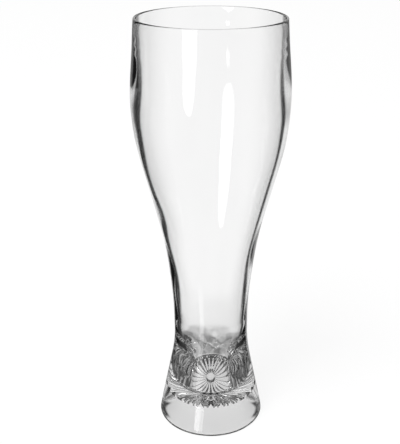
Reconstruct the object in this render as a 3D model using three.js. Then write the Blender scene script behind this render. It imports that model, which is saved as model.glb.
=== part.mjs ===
// A tall wheat-beer glass: a waisted bowl, a floor with a star pressed into its underside, and a
// hollow flared foot. Millimetres, +Z up, origin on the table under the middle of the foot.
import * as THREE from "three";

// Outside of the glass, from the table up. A pull is the length of a curve's straight start or end.
const HEIGHT = 246;
const FOOT_RADIUS = 32.2;
const FOOT_LEAN = 0.195; // step inwards for each step up
const FOOT_PULL = 37.2;
const FOOT_EDGE = 1; // rounding of both edges of the standing ring
const WAIST_HEIGHT = 59;
const WAIST_RADIUS = 22.25;
const WAIST_PULL_DOWN = 13;
const WAIST_PULL_UP = 75;
const BELLY_HEIGHT = 201.4;
const BELLY_RADIUS = 44.15;
const BELLY_PULL_DOWN = 41.2;
const BELLY_PULL_UP = 9.9;
const RIM_RADIUS = 41.25;
const RIM_LEAN = 0.076; // step inwards for each step up
const RIM_PULL = 24;

// Thickness of the glass, measured level. The bowl's wall is thickest round the belly.
const RIM_WALL = 1.5;
const NECK_WALL = 2.1;
const NECK_DROP = 14; // how far under the rim the neck's wall is measured
const BELLY_WALL = 3.7;
const SHOULDER_WALL = 3.3;
const SLOPE_WALL = 2;
const STEM_WALL = 1.6;
const LOW_WALL = 2.3;
const WAIST_WALL = 3.5;
const FOOT_WALL = 3.4; // at the standing ring; the hollow narrows upwards to the star
const FLOOR_THICKNESS = 3.5;

// Well of the bowl, and the star under it.
const STAR_HEIGHT = 15.5; // tops of the petals, where the foot is fused on
const STAR_RADIUS = 22.6;
const WELL_RADIUS = 15.5; // at the top of its rounded corner
const WELL_FILLET = 4.5;
const WELL_NECK = 7; // the well starts to narrow this far above the waist
const PETALS = 24;
const PETAL_DEPTH = 2.8; // depth of the grooves between the petals, at the foot's wall
const GROOVE_RUNOUT = 0.4; // how steeply a groove ends at the foot's wall
const HUB_RADIUS = 6;
const HUB_RISE = 1; // hollow round the knob
const KNOB_RADIUS = 3.2;
const KNOB_DROP = 1.7;

// Fineness of the mesh.
const LONG_STEPS = 12;
const SHORT_STEPS = 4;
const ROUND_STEPS = 3;

const sides = PETALS * 3; // a groove and two corners of a crest for each petal
const lip = RIM_WALL / 2; // radius of the rounded rim
const rimStart = HEIGHT - lip;
const floorHeight = STAR_HEIGHT + FLOOR_THICKNESS;
const bowlSeam = floorHeight + WELL_FILLET;
const wellNeck = WAIST_HEIGHT + WELL_NECK;

const point = (radius, height) => new THREE.Vector2(radius, height);

// One curve of the outline, between two points with a pull at each.
const curve = (from, pullFrom, pullTo, to) => new THREE.CubicBezierCurve(from, pullFrom, pullTo, to);

const footCurve = curve(
  point(FOOT_RADIUS, 0),
  point(FOOT_RADIUS - FOOT_LEAN * FOOT_PULL, FOOT_PULL),
  point(WAIST_RADIUS, WAIST_HEIGHT - WAIST_PULL_DOWN),
  point(WAIST_RADIUS, WAIST_HEIGHT),
);

// Waist to belly.
const bodyCurve = curve(
  point(WAIST_RADIUS, WAIST_HEIGHT),
  point(WAIST_RADIUS, WAIST_HEIGHT + WAIST_PULL_UP),
  point(BELLY_RADIUS, BELLY_HEIGHT - BELLY_PULL_DOWN),
  point(BELLY_RADIUS, BELLY_HEIGHT),
);

// Belly to the start of the rounded rim.
const neckCurve = curve(
  point(BELLY_RADIUS, BELLY_HEIGHT),
  point(BELLY_RADIUS, BELLY_HEIGHT + BELLY_PULL_UP),
  point(RIM_RADIUS + RIM_LEAN * RIM_PULL, rimStart - RIM_PULL),
  point(RIM_RADIUS, rimStart),
);

// Thickness of the bowl's wall, across, by height, up.
const wallCurve = new THREE.SplineCurve([
  point(WAIST_WALL, wellNeck),
  point(LOW_WALL, WAIST_HEIGHT + WAIST_PULL_UP / 2),
  point(STEM_WALL, WAIST_HEIGHT + WAIST_PULL_UP),
  point(SLOPE_WALL, BELLY_HEIGHT - BELLY_PULL_DOWN),
  point(SHOULDER_WALL, BELLY_HEIGHT - BELLY_PULL_DOWN / 3),
  point(BELLY_WALL, BELLY_HEIGHT + BELLY_PULL_UP / 2),
  point(NECK_WALL, HEIGHT - NECK_DROP),
  point(RIM_WALL, rimStart),
]);

// Place on a rising curve, 0 to 1, at a height.
function placeOn(path, height, low = 0, high = 1) {
  const middle = (low + high) / 2;
  if (high - low < 1e-10) return middle;
  if (path.getPoint(middle).y < height) return placeOn(path, height, middle, high);
  return placeOn(path, height, low, middle);
}

const footPlace = (height) => placeOn(footCurve, height);

// Radius of the bowl's outside at a height above the waist.
function bowlRadius(height) {
  const path = height < BELLY_HEIGHT ? bodyCurve : neckCurve;
  return path.getPoint(placeOn(path, height)).x;
}

// Inside of the bowl where its wall is given by its thickness.
const bowlInside = ({ x: wall, y: height }) => point(bowlRadius(height) - wall, height);

// Inside of the bowl from there down to the well's rounded corner.
const wellPull = (wellNeck - bowlSeam) / 3;
const wellCurve = curve(
  bowlInside(point(WAIST_WALL, wellNeck)),
  bowlInside(point(WAIST_WALL, wellNeck)).sub(point(0, wellPull)),
  point(WELL_RADIUS, bowlSeam + wellPull),
  point(WELL_RADIUS, bowlSeam),
);

// Points along a curve between two places, both ends included.
function along(path, start, end, steps) {
  const points = [];
  for (let i = 0; i <= steps; i++) points.push(path.getPoint(start + ((end - start) * i) / steps));
  return points;
}

// Points on a round, both ends included, angles in quarter turns.
function round(radius, height, size, start, end, steps) {
  const points = [];
  for (let i = 0; i <= steps; i++) {
    const angle = ((start + ((end - start) * i) / steps) * Math.PI) / 2;
    points.push(point(radius + size * Math.cos(angle), height + size * Math.sin(angle)));
  }
  return points;
}

// A closed body turned about the axis. Outlines run anticlockwise, radius to the right and height up;
// one that starts and ends on the axis is closed there, any other closes on itself. The lift raises
// a point of the outline by an amount that depends on the angle.
function turned(name, outline, finish, lift = () => 0) {
  const positions = [];
  const faces = [];
  const rings = outline.map((p, i) => {
    const start = positions.length / 3;
    if (p.x === 0) {
      positions.push(0, 0, p.y);
      return [start];
    }
    for (let k = 0; k < sides; k++) {
      const angle = (2 * Math.PI * k) / sides;
      positions.push(p.x * Math.cos(angle), p.x * Math.sin(angle), p.y + lift(i, angle));
    }
    return Array.from({ length: sides }, (_, k) => start + k);
  });
  if (outline[0].x > 0) rings.push(rings[0]);
  for (let i = 0; i + 1 < rings.length; i++) {
    const [a, b] = [rings[i], rings[i + 1]];
    for (let k = 0; k < sides; k++) {
      const next = (k + 1) % sides;
      if (a.length > 1) faces.push(a[k], a[next], b[b.length > 1 ? next : 0]);
      if (b.length > 1) faces.push(a[a.length > 1 ? k : 0], b[next], b[k]);
    }
  }
  const geometry = new THREE.BufferGeometry();
  geometry.setAttribute("position", new THREE.Float32BufferAttribute(positions, 3));
  geometry.setIndex(faces);
  geometry.computeVertexNormals();
  const mesh = new THREE.Mesh(geometry, finish);
  mesh.name = name;
  return mesh;
}

const glass = new THREE.MeshStandardMaterial({ color: 0xe4ecec, roughness: 0.03, metalness: 0 });

// Bowl: up the outside from the seam, over the rounded rim, and down the inside into the well.
const bowlOutline = [
  ...along(footCurve, footPlace(bowlSeam), 1, SHORT_STEPS),
  ...along(bodyCurve, 0, 1, LONG_STEPS).slice(1),
  ...along(neckCurve, 0, 1, SHORT_STEPS).slice(1),
  ...round(RIM_RADIUS - lip, rimStart, lip, 0, 2, 2 * ROUND_STEPS).slice(1, -1),
  ...wallCurve.getPoints(LONG_STEPS + SHORT_STEPS).reverse().map(bowlInside),
  ...along(wellCurve, 0, 1, 2 * ROUND_STEPS).slice(1),
];

// Star floor: from the middle of the knob out along the petals, up the outside, and back over the
// raised edge and the rounded corner of the well.
const petalRings = along(
  new THREE.LineCurve(point(HUB_RADIUS, STAR_HEIGHT), point(STAR_RADIUS - GROOVE_RUNOUT, STAR_HEIGHT)),
  0,
  1,
  SHORT_STEPS,
);
const knobRings = along(
  new THREE.EllipseCurve(0, STAR_HEIGHT + HUB_RISE, KNOB_RADIUS, KNOB_DROP, -Math.PI / 2, 0),
  0,
  1,
  ROUND_STEPS,
);
knobRings[0].x = 0;
const floorOutline = [
  ...knobRings,
  ...petalRings,
  point(STAR_RADIUS, STAR_HEIGHT),
  ...along(footCurve, footPlace(STAR_HEIGHT), footPlace(bowlSeam), ROUND_STEPS),
  ...round(WELL_RADIUS - WELL_FILLET, bowlSeam, WELL_FILLET, 0, -1, ROUND_STEPS),
  point(0, floorHeight),
];

// Grooves cut upwards between flat-topped petals, deeper as the petals widen.
function groove(ring, angle) {
  const petal = petalRings[ring - knobRings.length];
  if (!petal) return 0;
  const isGroove = Math.cos(PETALS * angle) > 0.5;
  return isGroove ? (PETAL_DEPTH * petal.x) / STAR_RADIUS : 0;
}

// Foot: the flat standing ring, up the outside to the seam, and down the inside of the hollow.
const footOutline = [
  ...round(FOOT_RADIUS - FOOT_WALL + FOOT_EDGE, FOOT_EDGE, FOOT_EDGE, 2, 3, ROUND_STEPS),
  ...round(FOOT_RADIUS - FOOT_EDGE, FOOT_EDGE, FOOT_EDGE, -1, 0, ROUND_STEPS).slice(0, -1),
  ...along(footCurve, footPlace(FOOT_EDGE), footPlace(STAR_HEIGHT), SHORT_STEPS),
  point(STAR_RADIUS, STAR_HEIGHT),
];

const wheatBeerGlass = new THREE.Group();
wheatBeerGlass.name = "wheat_beer_glass";
wheatBeerGlass.add(
  turned("bowl", bowlOutline, glass),
  turned("star_floor", floorOutline, glass, groove),
  turned("foot", footOutline, glass),
);

export default wheatBeerGlass;
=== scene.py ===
"""Looks of a tall wheat-beer glass of clear glass, on a white table in soft light.

Sizes of the glass are in millimetres and turn into metres when a mesh is made, in the
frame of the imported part: +Z up, origin on the table under the middle of the foot.
Places in the studio and in the materials are in metres.
"""

from __future__ import annotations

import logging
import math
from bisect import bisect_left
from collections.abc import Sequence
from dataclasses import dataclass, field
from enum import Enum
from typing import NamedTuple

import bpy
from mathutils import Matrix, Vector

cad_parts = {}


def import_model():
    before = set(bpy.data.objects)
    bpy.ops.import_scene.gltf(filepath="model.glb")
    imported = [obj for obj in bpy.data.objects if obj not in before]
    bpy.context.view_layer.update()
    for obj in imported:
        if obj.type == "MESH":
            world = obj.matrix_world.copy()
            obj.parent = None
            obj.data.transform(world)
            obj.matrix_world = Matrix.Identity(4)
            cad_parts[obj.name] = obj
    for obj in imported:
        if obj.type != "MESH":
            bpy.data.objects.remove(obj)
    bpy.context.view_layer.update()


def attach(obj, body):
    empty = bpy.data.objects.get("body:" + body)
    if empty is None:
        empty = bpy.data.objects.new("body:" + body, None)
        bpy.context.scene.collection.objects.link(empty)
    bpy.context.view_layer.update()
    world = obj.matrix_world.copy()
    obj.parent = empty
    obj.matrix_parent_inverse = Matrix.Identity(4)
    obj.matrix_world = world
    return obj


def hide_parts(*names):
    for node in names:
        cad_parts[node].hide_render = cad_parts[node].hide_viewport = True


MM = 0.001
LEVEL = (1.0, 1.0, 0.0)  # keeps what is level of a vector

Point = tuple[float, float]  # radius and height
Band = tuple[float, float]  # where a smooth step starts and ends
Triple = tuple[float, float, float]
Corners = tuple[int, ...]
log = logging.getLogger("beer_glass")


class Face(Enum):
    """What a strip of a piece's surface is."""

    OUTSIDE = "outside"
    INSIDE = "inside"
    SEAM = "seam"


class Wire:
    """One output of a shader node; arithmetic on it adds Math nodes."""

    def __init__(self, shader: Shader, socket: bpy.types.NodeSocket | None) -> None:
        """Wraps a socket of a shader's node tree.

        Args:
            shader: The shader that the socket's node belongs to.
            socket: The output to wrap, or None for a node without one.
        """
        self.shader = shader
        self.socket = socket

    def _math(self, operation: str, *values: Wire | float) -> Wire:
        """Adds one Math node.

        Args:
            operation: The node's operation.
            values: Its inputs, in order.

        Returns:
            The node's output.
        """
        inputs = dict(enumerate(values))
        return self.shader.node("ShaderNodeMath", {"operation": operation}, inputs)

    def __add__(self, other: Wire | float) -> Wire:
        """Sum."""
        return self._math("ADD", self, other)

    __radd__ = __add__

    def __sub__(self, other: Wire | float) -> Wire:
        """Difference."""
        return self._math("SUBTRACT", self, other)

    def __rsub__(self, other: Wire | float) -> Wire:
        """Difference, the other way round."""
        return self._math("SUBTRACT", other, self)

    def __mul__(self, other: Wire | float) -> Wire:
        """Product."""
        return self._math("MULTIPLY", self, other)

    __rmul__ = __mul__

    def __gt__(self, other: Wire | float) -> Wire:
        """1 where this is greater, else 0."""
        return self._math("GREATER_THAN", self, other)

    def ramp(self, low: float, high: float) -> Wire:
        """Smooth step from 0 at low to 1 at high.

        Args:
            low: Value that gives 0.
            high: Value that gives 1.

        Returns:
            The stepped value.
        """
        settings = {"interpolation_type": "SMOOTHSTEP"}
        inputs = {"Value": self, "From Min": low, "From Max": high}
        return self.shader.node("ShaderNodeMapRange", settings, inputs)


class Shader:
    """The node tree of one material or world."""

    def __init__(self, tree: bpy.types.NodeTree) -> None:
        """Empties the tree.

        Args:
            tree: The tree to build in.
        """
        self.tree = tree
        tree.nodes.clear()

    def node(
        self,
        kind: str,
        settings: dict[str, object] | None = None,
        inputs: dict[str | int, object] | None = None,
        output: str | int = 0,
    ) -> Wire:
        """Adds one node, with its settings first and then its inputs.

        Args:
            kind: The node's type.
            settings: Values of the node's own properties.
            inputs: Values or wires of its sockets, by name or number.
            output: The output to return, by name or number.

        Returns:
            The chosen output.
        """
        made = self.tree.nodes.new(kind)
        for name, value in (settings or {}).items():
            setattr(made, name, value)
        for name, value in (inputs or {}).items():
            if isinstance(value, Wire):
                self.tree.links.new(value.socket, made.inputs[name])
            else:
                made.inputs[name].default_value = value
        return Wire(self, made.outputs[output] if made.outputs else None)

    def vector(self, operation: str, *values: Wire | Triple, output: str = "Vector") -> Wire:
        """Adds one Vector Math node.

        Args:
            operation: The node's operation.
            values: Its inputs, in order.
            output: The output to return.

        Returns:
            The chosen output.
        """
        inputs = dict(enumerate(values))
        return self.node("ShaderNodeVectorMath", {"operation": operation}, inputs, output)

    def part_of(self, vector: Wire, axis: str) -> Wire:
        """One part of a vector, X, Y or Z."""
        return self.node("ShaderNodeSeparateXYZ", inputs={0: vector}, output=axis)

    def geometry(self, output: str) -> Wire:
        """One output of the Geometry node."""
        return self.node("ShaderNodeNewGeometry", output=output)

    def light_path(self, output: str) -> Wire:
        """One output of the Light Path node."""
        return self.node("ShaderNodeLightPath", output=output)

    def place(self) -> Wire:
        """Place on the piece, in the part's frame."""
        return self.node("ShaderNodeTexCoord", output="Object")

    def facing(self) -> Wire:
        """0 where a surface is seen square on, 1 where it is seen edge-on."""
        return self.node("ShaderNodeLayerWeight", inputs={"Blend": 0.5}, output="Facing")

    def noise(self, place: Wire, **values: float) -> Wire:
        """A Noise Texture at a place, with values for its other sockets."""
        return self.node("ShaderNodeTexNoise", inputs={"Vector": place, **values})

    def grey(self, value: Wire | float) -> Wire:
        """A grey colour of that value."""
        inputs = {"Red": value, "Green": value, "Blue": value}
        return self.node("ShaderNodeCombineColor", inputs=inputs)

    def glow(self, level: Wire | float) -> Wire:
        """A shader that gives off grey light of a level, where 1 is white."""
        return self.node("ShaderNodeEmission", inputs={"Color": self.grey(level)})

    def mix(self, share: Wire | float, first: Wire, second: Wire) -> Wire:
        """A Mix Shader, from the first shader at 0 to the second at 1."""
        return self.node("ShaderNodeMixShader", inputs={0: share, 1: first, 2: second})

    def surface(self, shader: Wire, kind: str = "ShaderNodeOutputMaterial") -> None:
        """Makes a shader the tree's surface."""
        self.node(kind, inputs={"Surface": shader})


def new_material(name: str) -> tuple[bpy.types.Material, Shader]:
    """Makes an empty node material.

    Args:
        name: Its name.

    Returns:
        The material and the shader to build in it.
    """
    material = bpy.data.materials.new(name)
    material.use_nodes = True
    return material, Shader(material.node_tree)


@dataclass(frozen=True)
class ClearGlass:
    """Clear fire-polished glass, with the faint upright cords of drawn-out glass."""

    name: str
    tint: float = 0.998
    ior: float = 1.5
    cord: float = 0.012
    cord_scale: float = 60.0
    cord_stretch: Triple = (1.0, 1.0, 0.12)
    cord_band: Band = (0.35, 0.7)

    def level(self, shader: Shader) -> Wire:
        """How much light the surface lets through.

        Args:
            shader: The shader to add nodes to.

        Returns:
            The share, 1 for all of it.
        """
        place = shader.vector("MULTIPLY", shader.place(), self.cord_stretch)
        cords = shader.noise(place, Scale=self.cord_scale)
        return self.tint - cords.ramp(*self.cord_band) * self.cord

    def build(self) -> bpy.types.Material:
        """Makes the material.

        Returns:
            The finished material.
        """
        material, shader = new_material(self.name)
        glass = shader.node(
            "ShaderNodeBsdfPrincipled",
            inputs={
                "Base Color": shader.grey(self.level(shader)),
                "Roughness": 0.0,
                "IOR": self.ior,
                "Transmission Weight": 1.0,
            },
        )
        shader.surface(glass)
        return material


@dataclass(frozen=True)
class PaintedEdgeShadeGlass(ClearGlass):
    """Clear glass on the hollow side of a wall.

    Seen nearly edge-on, a real wall bends its view round to the dark of the studio,
    which draws a glass's outline; here that dark is painted shade in the base colour.
    The painted shade starts above the thick base and eases to the rim.
    """

    # share of light that the painted edge shade takes at its fullest
    dark: float = 0.9
    dark_band: Band = (0.66, 0.76)  # of how edge-on the wall is seen
    start_band: Band = (0.055, 0.08)  # of height
    ease_band: Band = (0.19, 0.235)  # of height
    ease: float = 0.4

    def level(self, shader: Shader) -> Wire:
        """How much light the surface lets through, less where painted edge shade darkens it.

        Args:
            shader: The shader to add nodes to.

        Returns:
            The share, 1 for all of it.
        """
        height = shader.part_of(shader.place(), "Z")
        wall = height.ramp(*self.start_band) * (1 - height.ramp(*self.ease_band) * self.ease)
        front = 1 - shader.geometry("Backfacing")
        edge = shader.facing().ramp(*self.dark_band)
        # painted shade: the base colour darkens where the hollow side is seen nearly edge-on
        clear = 1 - edge * front * wall * self.dark
        return super().level(shader) * clear * clear


@dataclass(frozen=True)
class FusedSeam:
    """Where two pieces of glass melted together: nothing shows there."""

    name: str = "fused_seam"

    def build(self) -> bpy.types.Material:
        """Makes the material.

        Returns:
            The finished material.
        """
        material, shader = new_material(self.name)
        shader.surface(shader.node("ShaderNodeBsdfTransparent"))
        return material


@dataclass(frozen=True)
class Curve:
    """A cubic curve of an outline, between two points with a pull at each."""

    start: Point
    start_pull: Point
    end_pull: Point
    end: Point

    def at(self, share: float) -> Point:
        """The point a share of the way along.

        Args:
            share: 0 at the start, 1 at the end.

        Returns:
            The point there.
        """
        rest = 1 - share
        weights = (rest**3, 3 * share * rest**2, 3 * share**2 * rest, share**3)
        ends = (self.start, self.start_pull, self.end_pull, self.end)
        return (
            sum(w * p[0] for w, p in zip(weights, ends)),
            sum(w * p[1] for w, p in zip(weights, ends)),
        )


@dataclass(frozen=True)
class Wave:
    """A wave that winds round the glass."""

    turns: int  # crests round the glass
    rise: float  # radians for each millimetre up
    start: float = 0.0
    size: float = 1.0

    def at(self, angle: float, height: float) -> float:
        """The wave's push at an angle and a height."""
        return self.size * math.sin(self.turns * angle + self.rise * height + self.start)


def blend(share: float) -> float:
    """Smooth step of a share between 0 and 1."""
    share = min(1.0, max(0.0, share))
    return share * share * (3 - 2 * share)


def spread(start: float, end: float, steps: int) -> list[float]:
    """Evenly spaced values, both ends included."""
    return [start + (end - start) * i / steps for i in range(steps + 1)]


def reading(line: Sequence[Point], place: float) -> float:
    """Value at a place on a line of places and values.

    Args:
        line: Places, rising, each with its value.
        place: The place to read.

    Returns:
        The value there.
    """
    i = min(max(bisect_left(line, (place, 0.0)), 1), len(line) - 1)
    (low, first), (high, second) = line[i - 1], line[i]
    return first + (second - first) * (place - low) / (high - low)


def smooth_line(points: Sequence[Point], steps: int) -> list[Point]:
    """A smooth line through points.

    Args:
        points: The points to pass through.
        steps: Number of steps between two of them.

    Returns:
        Points close together on the line.
    """
    ends = [points[0], *points, points[-1]]
    made: list[Point] = [points[0]]
    for before, start, end, after in zip(ends, ends[1:], ends[2:], ends[3:]):
        for share in spread(0.0, 1.0, steps)[1:]:
            made.append(
                tuple(
                    a
                    + (b - z) / 2 * share
                    + (2 * z - 5 * a + 4 * b - c) / 2 * share**2
                    + (3 * a - z - 3 * b + c) / 2 * share**3
                    for z, a, b, c in zip(before, start, end, after)
                )
            )
    return made


def arc(centre: Point, size: float, start: float, end: float, steps: int) -> list[Point]:
    """Points on a round, both ends included.

    Args:
        centre: Its centre, as radius and height.
        size: Its own radius.
        start: First angle, in quarter turns from straight out.
        end: Last angle, in quarter turns.
        steps: Number of steps between them.

    Returns:
        The points.
    """
    angles = [quarter * math.pi / 2 for quarter in spread(start, end, steps)]
    return [(centre[0] + size * math.cos(a), centre[1] + size * math.sin(a)) for a in angles]


@dataclass
class Outline:
    """The glass's sizes: its outer line, its walls, and the well.

    A pull is the length of a curve's straight start or end, and a lean is the step
    inwards for each step up. Walls are measured level.
    """

    height: float = 246.0
    foot_radius: float = 32.2
    foot_lean: float = 0.195
    foot_pull: float = 37.2
    waist_height: float = 59.0
    waist_radius: float = 22.25
    waist_pull_down: float = 13.0
    waist_pull_up: float = 75.0
    belly_height: float = 201.4
    belly_radius: float = 44.15
    belly_pull_down: float = 41.2
    belly_pull_up: float = 9.9
    rim_radius: float = 41.25
    rim_lean: float = 0.076
    rim_pull: float = 24.0
    rim_wall: float = 1.5
    neck_wall: float = 2.1
    neck_drop: float = 14.0  # how far under the rim the neck's wall is measured
    belly_wall: float = 3.7
    shoulder_wall: float = 3.3
    slope_wall: float = 2.0
    stem_wall: float = 1.6
    low_wall: float = 2.3
    waist_wall: float = 3.5
    foot_wall: float = 3.4
    floor_thickness: float = 3.5
    star_height: float = 15.5  # tops of the petals
    star_radius: float = 22.6
    well_neck_up: float = 7.0  # the well starts to narrow this far above the waist
    well_radius: float = 15.5
    well_round: float = 4.5
    curve_steps: int = 1500
    wall_steps: int = 60
    outside: list[Point] = field(default_factory=list, init=False)  # radius by height
    walls: list[Point] = field(default_factory=list, init=False)  # thickness by height

    def __post_init__(self) -> None:
        """Samples the outer line and the wall's thickness once, by height."""
        lip_start = self.height - self.lip
        foot = Curve(
            (self.foot_radius, 0.0),
            (self.foot_radius - self.foot_lean * self.foot_pull, self.foot_pull),
            (self.waist_radius, self.waist_height - self.waist_pull_down),
            (self.waist_radius, self.waist_height),
        )
        body = Curve(
            (self.waist_radius, self.waist_height),
            (self.waist_radius, self.waist_height + self.waist_pull_up),
            (self.belly_radius, self.belly_height - self.belly_pull_down),
            (self.belly_radius, self.belly_height),
        )
        neck = Curve(
            (self.belly_radius, self.belly_height),
            (self.belly_radius, self.belly_height + self.belly_pull_up),
            (self.rim_radius + self.rim_lean * self.rim_pull, lip_start - self.rim_pull),
            (self.rim_radius, lip_start),
        )
        for curve in (foot, body, neck):
            for share in spread(0.0, 1.0, self.curve_steps):
                radius, height = curve.at(share)
                if not self.outside or height > self.outside[-1][0]:
                    self.outside.append((height, radius))
        stations = (
            (self.well_neck, self.waist_wall),
            (self.waist_height + self.waist_pull_up / 2, self.low_wall),
            (self.waist_height + self.waist_pull_up, self.stem_wall),
            (self.belly_height - self.belly_pull_down, self.slope_wall),
            (self.belly_height - self.belly_pull_down / 3, self.shoulder_wall),
            (self.belly_height + self.belly_pull_up / 2, self.belly_wall),
            (self.height - self.neck_drop, self.neck_wall),
            (lip_start, self.rim_wall),
        )
        self.walls = smooth_line(stations, self.wall_steps)

    @property
    def lip(self) -> float:
        """Radius of the rounded rim."""
        return self.rim_wall / 2

    @property
    def floor_height(self) -> float:
        """Height of the well's floor."""
        return self.star_height + self.floor_thickness

    @property
    def bowl_seam(self) -> float:
        """Height where the bowl is fused to the floor."""
        return self.floor_height + self.well_round

    @property
    def well_neck(self) -> float:
        """Height where the bowl starts to narrow into the well."""
        return self.waist_height + self.well_neck_up

    def outer(self, height: float) -> float:
        """Outer radius at a height."""
        return reading(self.outside, height)

    def inner(self, height: float) -> float:
        """Inner radius of the bowl.

        Args:
            height: Where to measure it, from the bowl's seam up.

        Returns:
            The radius there.
        """
        if height >= self.well_neck:
            return self.outer(height) - reading(self.walls, height)
        neck = self.outer(self.well_neck) - self.waist_wall
        share = blend((height - self.bowl_seam) / (self.well_neck - self.bowl_seam))
        return self.well_radius + (neck - self.well_radius) * share


class Ring(NamedTuple):
    """One ring of a turned piece, and what the strip after it is."""

    radius: float
    height: float
    face: Face


def strip(points: Sequence[Point], face: Face) -> list[Ring]:
    """Rings through points, with strips of one kind after them."""
    return [Ring(radius, height, face) for radius, height in points]


@dataclass
class TurnedPiece:
    """A closed body turned about the glass's axis."""

    node: str
    slot: str
    outline: Outline
    sides: int = 240
    sharp_from: float = 38.0  # degrees between faces that meet in a sharp edge

    def rings(self) -> list[Ring]:
        """The rings, in order; the last joins the first unless that is on the axis."""
        raise NotImplementedError

    def shift(self, ring: Ring, angle: float) -> Point:
        """How far a ring is pushed out and up at an angle."""
        return 0.0, 0.0

    def _corners(self, ring: Ring) -> list[Triple]:
        """Corners of a ring.

        Args:
            ring: The ring; one on the axis has a single corner.

        Returns:
            The corners, in metres.
        """
        if ring.radius == 0:
            return [(0.0, 0.0, ring.height * MM)]
        corners: list[Triple] = []
        for k in range(self.sides):
            angle = 2 * math.pi * k / self.sides
            out, up = self.shift(ring, angle)
            reach = (ring.radius + out) * MM
            height = (ring.height + up) * MM
            corners.append((reach * math.cos(angle), reach * math.sin(angle), height))
        return corners

    def _strip_faces(self, first: range, second: range) -> list[Corners]:
        """Faces of the strip between two rings.

        Args:
            first: Numbers of the first ring's corners.
            second: Numbers of the next ring's corners.

        Returns:
            One face for each side.
        """
        faces: list[Corners] = []
        for k in range(self.sides):
            after = (k + 1) % self.sides
            if len(first) == 1:
                faces.append((first[0], second[after], second[k]))
            elif len(second) == 1:
                faces.append((first[k], first[after], second[0]))
            else:
                faces.append((first[k], first[after], second[after], second[k]))
        return faces

    def build(self, finishes: dict[Face, bpy.types.Material]) -> bpy.types.Object:
        """Makes the piece's mesh and dresses it.

        Args:
            finishes: The material of each kind of strip.

        Returns:
            The finished object, riding in the CAD node's place.
        """
        rings = self.rings()
        corners: list[Triple] = []
        numbers: list[range] = []
        for ring in rings:
            start = len(corners)
            corners += self._corners(ring)
            numbers.append(range(start, len(corners)))
        if rings[0].radius > 0:
            numbers.append(numbers[0])
        order = list(finishes)
        faces: list[Corners] = []
        kinds: list[int] = []
        for ring, first, second in zip(rings, numbers, numbers[1:]):
            faces += self._strip_faces(first, second)
            kinds += [order.index(ring.face)] * self.sides
        mesh = bpy.data.meshes.new(self.node)
        mesh.from_pydata(corners, [], faces)
        for finish in finishes.values():
            mesh.materials.append(finish)
        mesh.polygons.foreach_set("material_index", kinds)
        mesh.polygons.foreach_set("use_smooth", [True] * len(faces))
        mesh.update()
        mesh.set_sharp_from_angle(angle=math.radians(self.sharp_from))
        piece = bpy.data.objects.new(f"{self.node}_clear", mesh)
        bpy.context.scene.collection.objects.link(piece)
        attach(piece, "root")
        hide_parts(self.node)
        log.info("%s: %d faces", piece.name, len(faces))
        return piece


@dataclass
class Bowl(TurnedPiece):
    """The tall blown wall, from the well to the drinking rim."""

    wall_steps: int = 130
    rim_steps: int = 14
    ripple: float = 0.05
    ripple_waves: tuple[Wave, ...] = (
        Wave(3, 1 / 11),
        Wave(5, -1 / 17, 1.0),
        Wave(2, 1 / 6.5, 2.0, 0.7),
    )
    outer_ripple: float = 0.07
    outer_waves: tuple[Wave, ...] = (Wave(3, -1 / 9, 1.0), Wave(2, 1 / 6, 4.0))
    ripple_start: float = 20.0  # the ripples grow over this height above the seam
    ripple_end: float = 15.0  # and fade over this height under the rim
    rings_at: tuple[float, ...] = (234.5, 230.5)
    ring_rise: float = 0.1
    ring_width: float = 1.3
    chill: float = 0.07
    chill_waves: tuple[Wave, ...] = (
        Wave(9, 0.5),
        Wave(13, -0.42, 1.0),
        Wave(7, -0.6, 4.0),
        Wave(17, 0.25),
    )
    chill_top: float = 48.0
    chill_fade: float = 7.0
    chill_start: float = 5.0  # the chill marks grow over this height above the seam

    def rings(self) -> list[Ring]:
        """Up the outside, over the rim, and down the inside.

        Returns:
            The rings, in that order.
        """
        line = self.outline
        top, lip = line.height - line.lip, line.lip
        heights = spread(line.bowl_seam, top, self.wall_steps)
        rim = arc((line.rim_radius - lip, top), lip, 0, 2, self.rim_steps)[1:-1]
        made = strip([(line.outer(z), z) for z in heights], Face.OUTSIDE)
        made += strip(rim, Face.OUTSIDE)
        made += strip([(line.inner(z), z) for z in reversed(heights)], Face.INSIDE)
        made[-1] = made[-1]._replace(face=Face.SEAM)
        return made

    def shift(self, ring: Ring, angle: float) -> Point:
        """The slow waves that blowing leaves, the rings, and the marks of chilling.

        Args:
            ring: The ring to push.
            angle: The place on it.

        Returns:
            How far it goes out and up.
        """
        line, height = self.outline, ring.height
        above, below = height - line.bowl_seam, line.height - height
        fade = blend(above / self.ripple_start) * blend(below / self.ripple_end)
        if ring.face is not Face.INSIDE:
            push = sum(wave.at(angle, height) for wave in self.outer_waves)
            return self.outer_ripple * fade * push, 0.0
        out = self.ripple * fade * sum(wave.at(angle, height) for wave in self.ripple_waves)
        for middle in self.rings_at:
            out -= self.ring_rise * math.exp(-(((height - middle) / self.ring_width) ** 2))
        depth = blend((self.chill_top - height) / self.chill_fade)
        far_side = (1 + math.sin(angle)) / 2
        marks = sum(wave.at(angle, height) for wave in self.chill_waves)
        out += self.chill * depth * blend(above / self.chill_start) * far_side * marks
        return out, 0.0


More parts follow.
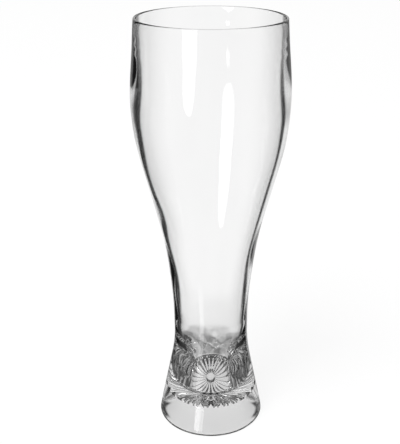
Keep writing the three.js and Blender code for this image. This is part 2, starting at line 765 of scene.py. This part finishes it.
@dataclass
class StarFloor(TurnedPiece):
    """The thick floor of the well, with a star pressed into its underside."""

    petals: int = 24
    petal_depth: float = 2.8  # depth of the grooves between the petals, at the foot's wall
    petal_breadth: float = 1.7  # the higher, the broader the petals' rounded tops
    groove_runout: float = 0.4
    hub_radius: float = 6.0
    hub_rise: float = 1.0  # hollow round the knob
    knob_radius: float = 3.2
    knob_drop: float = 1.7
    knob_steps: int = 8
    petal_steps: int = 28
    side_steps: int = 8
    corner_steps: int = 16

    @property
    def petal_reach(self) -> float:
        """Radius where the grooves run out."""
        return self.outline.star_radius - self.groove_runout

    def rings(self) -> list[Ring]:
        """Out along the star, up the outside, and back over the floor.

        Returns:
            The rings, in that order.
        """
        line, star = self.outline, self.outline.star_height
        knob = [
            (
                self.knob_radius * share,
                star + self.hub_rise - self.knob_drop * math.cos(share * math.pi / 2),
            )
            for share in spread(0.0, 1.0, self.knob_steps)
        ]
        petals = spread(self.hub_radius, self.petal_reach, self.petal_steps)
        heights = spread(star, line.bowl_seam, self.side_steps)
        corner = (line.well_radius - line.well_round, line.bowl_seam)
        made = strip(knob, Face.OUTSIDE)
        made += strip([(radius, star) for radius in petals], Face.OUTSIDE)
        made += strip([(line.star_radius, star)], Face.SEAM)
        made += strip([(line.outer(z), z) for z in heights], Face.OUTSIDE)
        made[-1] = made[-1]._replace(face=Face.SEAM)
        made += strip(arc(corner, line.well_round, 0, -1, self.corner_steps), Face.INSIDE)
        floor = [(corner[0] / 2, line.floor_height), (0.0, line.floor_height)]
        return made + strip(floor, Face.INSIDE)

    def shift(self, ring: Ring, angle: float) -> Point:
        """Grooves pressed up between rounded petals, deeper as the petals widen.

        Args:
            ring: The ring to push.
            angle: The place on it.

        Returns:
            How far it goes out and up.
        """
        line = self.outline
        on_star = ring.height == line.star_height
        if not (on_star and self.hub_radius <= ring.radius < line.star_radius):
            return 0.0, 0.0
        hub = self.hub_radius / line.star_radius
        share = (ring.radius - self.hub_radius) / (self.petal_reach - self.hub_radius)
        groove = (1 - abs(math.sin(self.petals * angle / 2))) ** self.petal_breadth
        return 0.0, self.petal_depth * (hub + (1 - hub) * share) * groove


@dataclass
class Foot(TurnedPiece):
    """The hollow flared skirt with the ring that the glass stands on."""

    edge: float = 1.0  # rounding of both edges of the standing ring
    edge_steps: int = 6
    wall_steps: int = 24

    def rings(self) -> list[Ring]:
        """Round the standing ring, up the outside, and down the hollow.

        Returns:
            The rings, in that order.
        """
        line, edge = self.outline, self.edge
        bottom = line.foot_radius - line.foot_wall
        heights = spread(edge, line.star_height, self.wall_steps)
        lean = (bottom - line.star_radius) / (line.star_height - edge)
        hollow = [(bottom - lean * (z - edge), z) for z in reversed(heights)]
        outer_round = arc((line.outer(edge) - edge, edge), edge, -1, 0, self.edge_steps)
        made = strip(arc((bottom + edge, edge), edge, 2, 3, self.edge_steps), Face.OUTSIDE)
        made += strip(outer_round[:-1], Face.OUTSIDE)
        made += strip([(line.outer(z), z) for z in heights], Face.OUTSIDE)
        made[-1] = made[-1]._replace(face=Face.SEAM)
        return made + strip(hollow[:-1], Face.INSIDE)


@dataclass(frozen=True)
class Sector:
    """A sector of the room, as seen from the glass, in degrees."""

    turn: float  # of its middle, from straight back to the right
    half: float  # half its width
    soft: float  # half the width of its soft edges

    def share(self, shader: Shader, outward: Wire) -> Wire:
        """Where the sector is.

        Args:
            shader: The shader to add nodes to.
            outward: Vector from the glass to what is seen.

        Returns:
            1 in the sector, 0 outside it.
        """
        middle = math.radians(self.turn)
        side = (math.sin(middle), math.cos(middle), 0.0)
        way = shader.vector("NORMALIZE", shader.vector("MULTIPLY", outward, LEVEL))
        toward = shader.vector("DOT_PRODUCT", way, side, output="Value")
        ends = (self.half + self.soft, self.half - self.soft)
        return toward.ramp(*(math.cos(math.radians(end)) for end in ends))


@dataclass(frozen=True)
class Room:
    """The dark room that the glass mirrors, with a pale screen behind and a pale front."""

    # The sky gives this room as light; on the table it is painted light that shows only where the
    # glass mirrors the table.
    dark: float = 0.04
    screen: Sector = Sector(6.0, 41.0, 4.0)
    screen_light: float = 0.78
    front: Sector = Sector(180.0, 95.0, 25.0)
    front_light: float = 0.78

    def pale(self, shader: Shader, outward: Wire, screen_light: Wire | float) -> Wire:
        """How pale the room is in a direction.

        Args:
            shader: The shader to add nodes to.
            outward: Vector from the glass to what is seen.
            screen_light: Brightness of the screen there.

        Returns:
            The brightness, without that of the dark.
        """
        screen = self.screen.share(shader, outward) * screen_light
        return screen + self.front.share(shader, outward) * self.front_light


@dataclass
class Table:
    """The white table.

    It shows white with a faint shadow to the camera. Through the glass it shows a painted
    shadow round the foot, with painted shade under the foot; where the glass mirrors it,
    it glows with painted room light. Bands are of the distance from the glass's axis
    where nothing else is said.
    """

    room: Room
    size: float = 12.0
    colour: float = 0.9
    shadow_share: float = 0.14

    # painted room light on the table, seen only where the glass mirrors it
    far_band: Band = (0.7, 1.1)
    far_light: float = 0.3
    pale_band: Band = (0.055, 0.11)
    # painted reflection: a streak of the strip light's gloss painted on the table, shown only in
    # the glass's reflections
    painted_gloss_centre: Triple = (-0.009, -0.031, 0.0)
    painted_gloss: Sector = Sector(210.5, 8.0, 1.5)
    painted_gloss_slant: Band = (0.32, 0.46)  # of how edge-on the table is seen
    painted_gloss_start: Band = (0.037, 0.045)
    painted_gloss_end: Band = (0.2, 0.3)
    painted_gloss_light: float = 2.5
    # painted light: noisy streaks of light under the foot, shown only where the glass mirrors the
    # table
    painted_streak_scale: float = 170.0
    painted_streak_band: Band = (0.45, 0.62)  # of the noise
    painted_streak_light: float = 0.4
    painted_streak_end: Band = (0.03, 0.06)

    through_light: float = 0.945
    through_shadow: float = 0.12
    # painted shadow ring round the foot, broken by painted caustic light; seen only through the
    # glass
    painted_caustic_scale: float = 90.0
    painted_caustic_band: Band = (0.3, 0.7)  # of the noise
    painted_caustic_light: float = 0.45
    painted_shadow_ring_start: Band = (0.034, 0.042)
    painted_shadow_ring_end: Band = (0.06, 0.078)
    painted_shadow_ring_dark: float = 0.82
    # painted shade under the foot and near the glass, and a painted contact shadow at the
    # standing ring's flanks
    painted_under_shade_end: Band = (0.0265, 0.03)
    painted_under_shade: float = 0.12
    painted_near_shade_end: Band = (0.08, 0.17)
    painted_near_shade: float = 0.06
    contact_start: Band = (0.0252, 0.0268)
    contact_end: Band = (0.029, 0.033)
    contact_side: float = 0.78  # least share of the squared distance that is to the side
    contact_soft: float = 0.0001
    painted_contact_shadow_dark: float = 0.72

    def build(self) -> bpy.types.Object:
        """Makes the table and dresses it.

        Returns:
            The table's object.
        """
        half = self.size / 2
        corners = [(-half, -half, 0.0), (half, -half, 0.0), (half, half, 0.0), (-half, half, 0.0)]
        mesh = bpy.data.meshes.new("table")
        mesh.from_pydata(corners, [], [(0, 1, 2, 3)])
        mesh.materials.append(self._material())
        table = bpy.data.objects.new("table", mesh)
        bpy.context.scene.collection.objects.link(table)
        return table

    def _material(self) -> bpy.types.Material:
        """Makes the table's material.

        Returns:
            The finished material.
        """
        material, shader = new_material("white_table_painted_light_and_shade")
        position = shader.geometry("Position")
        reach = shader.vector("LENGTH", position, output="Value")
        colour = (self.colour, self.colour, self.colour, 1.0)
        lit = shader.node("ShaderNodeBsdfDiffuse", inputs={"Color": colour})
        direct = shader.light_path("Is Camera Ray") * (1 - self.shadow_share)
        plain = shader.mix(direct, lit, shader.glow(1.0))
        through = shader.light_path("Is Transmission Ray") * (1 - self.through_shadow)
        # seen through the glass, the table shows painted shadow and shade round the foot
        plain = shader.mix(through, plain, shader.glow(self._through_painted_shadow(shader, position, reach)))
        # where the glass mirrors it, the table glows with painted room light
        mirrored = shader.light_path("Glossy Depth") > 0.5
        room = shader.glow(self._painted_mirrored_light(shader, position, reach))
        shader.surface(shader.mix(mirrored, plain, room))
        return material

    def _painted_mirrored_light(self, shader: Shader, position: Wire, reach: Wire) -> Wire:
        """How light the table is where the glass mirrors it.

        Args:
            shader: The shader to add nodes to.
            position: Place on the table.
            reach: Its distance from the glass's axis.

        Returns:
            The painted brightness: the room's dark and pale sectors, a painted gloss
            streak, and painted light streaks under the foot.
        """
        fall = reach.ramp(*self.far_band) * (self.room.screen_light - self.far_light)
        pale = self.room.pale(shader, position, self.room.screen_light - fall)
        # painted reflection of the strip light on the table
        from_centre = shader.vector("SUBTRACT", position, self.painted_gloss_centre)
        painted_gloss = self.painted_gloss.share(shader, from_centre) * shader.facing().ramp(*self.painted_gloss_slant)
        painted_gloss = painted_gloss * (1 - (shader.light_path("Transmission Depth") > 0.5))
        painted_gloss = painted_gloss * reach.ramp(*self.painted_gloss_start) * (1 - reach.ramp(*self.painted_gloss_end))
        # painted light streaks under the foot
        painted_streaks = shader.noise(position, Scale=self.painted_streak_scale, Detail=1.0)
        below = (1 - reach.ramp(*self.painted_streak_end)) * painted_streaks.ramp(*self.painted_streak_band)
        level = pale * reach.ramp(*self.pale_band) + painted_gloss * self.painted_gloss_light
        return level + below * self.painted_streak_light + self.room.dark

    def _through_painted_shadow(self, shader: Shader, position: Wire, reach: Wire) -> Wire:
        """How light the table is under and behind the foot, seen through the glass.

        Args:
            shader: The shader to add nodes to.
            position: Place on the table.
            reach: Its distance from the glass's axis.

        Returns:
            The brightness: a painted shadow in a ring round the foot, broken by painted
            caustic light, and painted shade under the foot and at the standing ring's
            flanks; pale elsewhere.
        """
        # painted caustic light in the painted shadow ring
        noise = shader.noise(position, Scale=self.painted_caustic_scale, Detail=2.0, Roughness=0.5)
        painted_caustics = noise.ramp(*self.painted_caustic_band) * self.painted_caustic_light
        ring = reach.ramp(*self.painted_shadow_ring_start) * (1 - reach.ramp(*self.painted_shadow_ring_end))
        # painted shade under the foot, near the glass, and at the standing ring's flanks
        under = 1 - reach.ramp(*self.painted_under_shade_end)
        fade = 1 - reach.ramp(*self.painted_near_shade_end)
        across = shader.part_of(position, "X")
        flank = across * across - reach * reach * self.contact_side
        painted_contact_shadow = reach.ramp(*self.contact_start) * (1 - reach.ramp(*self.contact_end))
        painted_contact_shadow = painted_contact_shadow * flank.ramp(0.0, self.contact_soft)
        level = self.through_light - ring * (self.painted_shadow_ring_dark - painted_caustics) - under * self.painted_under_shade
        return level - fade * self.painted_near_shade - painted_contact_shadow * self.painted_contact_shadow_dark


@dataclass
class Sky:
    """White behind the glass, dark overhead, and the room for what the glass mirrors.

    Bands are of the upward part of a direction.
    """

    room: Room
    ambient: float = 0.6
    room_top: Band = (0.3, 0.55)
    overhead_band: Band = (0.3, 0.5)
    overhead_dark: float = 0.95

    def build(self) -> None:
        """Makes the world."""
        world = bpy.data.worlds.new("studio")
        bpy.context.scene.world = world
        world.use_nodes = True
        shader = Shader(world.node_tree)
        outward = shader.node("ShaderNodeTexCoord", output="Generated")
        upward = shader.part_of(outward, "Z")
        room = self.room.pale(shader, outward, self.room.screen_light)
        room = room * (1 - upward.ramp(*self.room_top)) + self.room.dark
        seen = 1 - upward.ramp(*self.overhead_band) * self.overhead_dark
        direct = shader.light_path("Is Camera Ray") * (1 - self.ambient)
        through = shader.light_path("Is Transmission Ray") * (seen - self.ambient)
        plain = direct + through + self.ambient
        mirrored = shader.light_path("Glossy Depth") > 0.5
        level = plain + mirrored * (room - plain)
        sky = shader.node("ShaderNodeBackground", inputs={"Color": shader.grey(level)})
        shader.surface(sky, "ShaderNodeOutputWorld")


@dataclass(frozen=True)
class AreaLight:
    """An oval soft light that the camera doesn't see."""

    name: str
    place: Triple
    target: Triple
    size: tuple[float, float]
    radiance: float  # of its face, where 1 is white
    shows_in_glass: bool = True

    def build(self) -> bpy.types.Object:
        """Makes the light.

        Returns:
            The light's object.
        """
        data = bpy.data.lights.new(self.name, "AREA")
        data.shape = "ELLIPSE"
        data.size, data.size_y = self.size
        data.energy = self.radiance * math.pi * (math.pi / 4 * self.size[0] * self.size[1])
        lamp = bpy.data.objects.new(self.name, data)
        lamp.location = self.place
        aim = Vector(self.target) - Vector(self.place)
        lamp.rotation_euler = aim.to_track_quat("-Z", "Y").to_euler()
        lamp.visible_camera = False
        lamp.visible_glossy = self.shows_in_glass
        lamp.visible_transmission = self.shows_in_glass
        bpy.context.scene.collection.objects.link(lamp)
        return lamp


@dataclass
class Studio:
    """The table, the room around it, and the lights."""

    room: Room = Room()
    strip_light: AreaLight = AreaLight(
        "strip_light", (-0.26, -0.47, 0.29), (0.0, 0.0, 0.2), (0.21, 0.42), 3.6
    )
    fill_light: AreaLight = AreaLight(
        "fill_light", (-2.0, -2.4, 5.2), (0.0, 0.0, 0.0), (3.4, 3.4), 10.0, shows_in_glass=False
    )

    def build(self) -> None:
        """Makes the table, the sky and the lights."""
        Table(self.room).build()
        Sky(self.room).build()
        self.strip_light.build()
        self.fill_light.build()


@dataclass
class Viewpoint:
    """The camera, at the photograph's place."""

    distance: float = 435.2
    height: float = 311.4
    pitch: float = 22.81
    focal_pixels: float = 808.5
    picture_width: float = 400.0
    axis_column: float = 210.8  # column of the picture that the glass's axis stands in
    sensor: float = 36.0

    def build(self) -> bpy.types.Object:
        """Makes the camera and sets it as the scene's.

        Returns:
            The camera's object.
        """
        data = bpy.data.cameras.new("camera")
        data.sensor_fit = "HORIZONTAL"
        data.sensor_width = self.sensor
        data.lens = self.sensor * self.focal_pixels / self.picture_width
        data.shift_x = -(self.axis_column - self.picture_width / 2) / self.picture_width
        camera = bpy.data.objects.new("camera", data)
        camera.location = (0.0, -self.distance * MM, self.height * MM)
        camera.rotation_euler = (math.radians(90 - self.pitch), 0.0, 0.0)
        bpy.context.scene.collection.objects.link(camera)
        bpy.context.scene.camera = camera
        return camera


def main() -> None:
    """Builds the glass, the studio and the camera."""
    logging.basicConfig(level=logging.INFO, format="%(name)s: %(message)s")
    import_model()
    bpy.context.scene.view_settings.view_transform = "Standard"

    outline = Outline()
    finishes = {
        Face.OUTSIDE: ClearGlass("outer_glass").build(),
        Face.INSIDE: PaintedEdgeShadeGlass("inner_glass_painted_edge_shade").build(),
        Face.SEAM: FusedSeam().build(),
    }
    Bowl("bowl", "bowl_glass", outline).build(finishes)
    StarFloor("star_floor", "floor_glass", outline, sides=480).build(finishes)
    Foot("foot", "foot_glass", outline).build(finishes)
    Studio().build()
    Viewpoint().build()


if __name__ == "__main__":
    main()
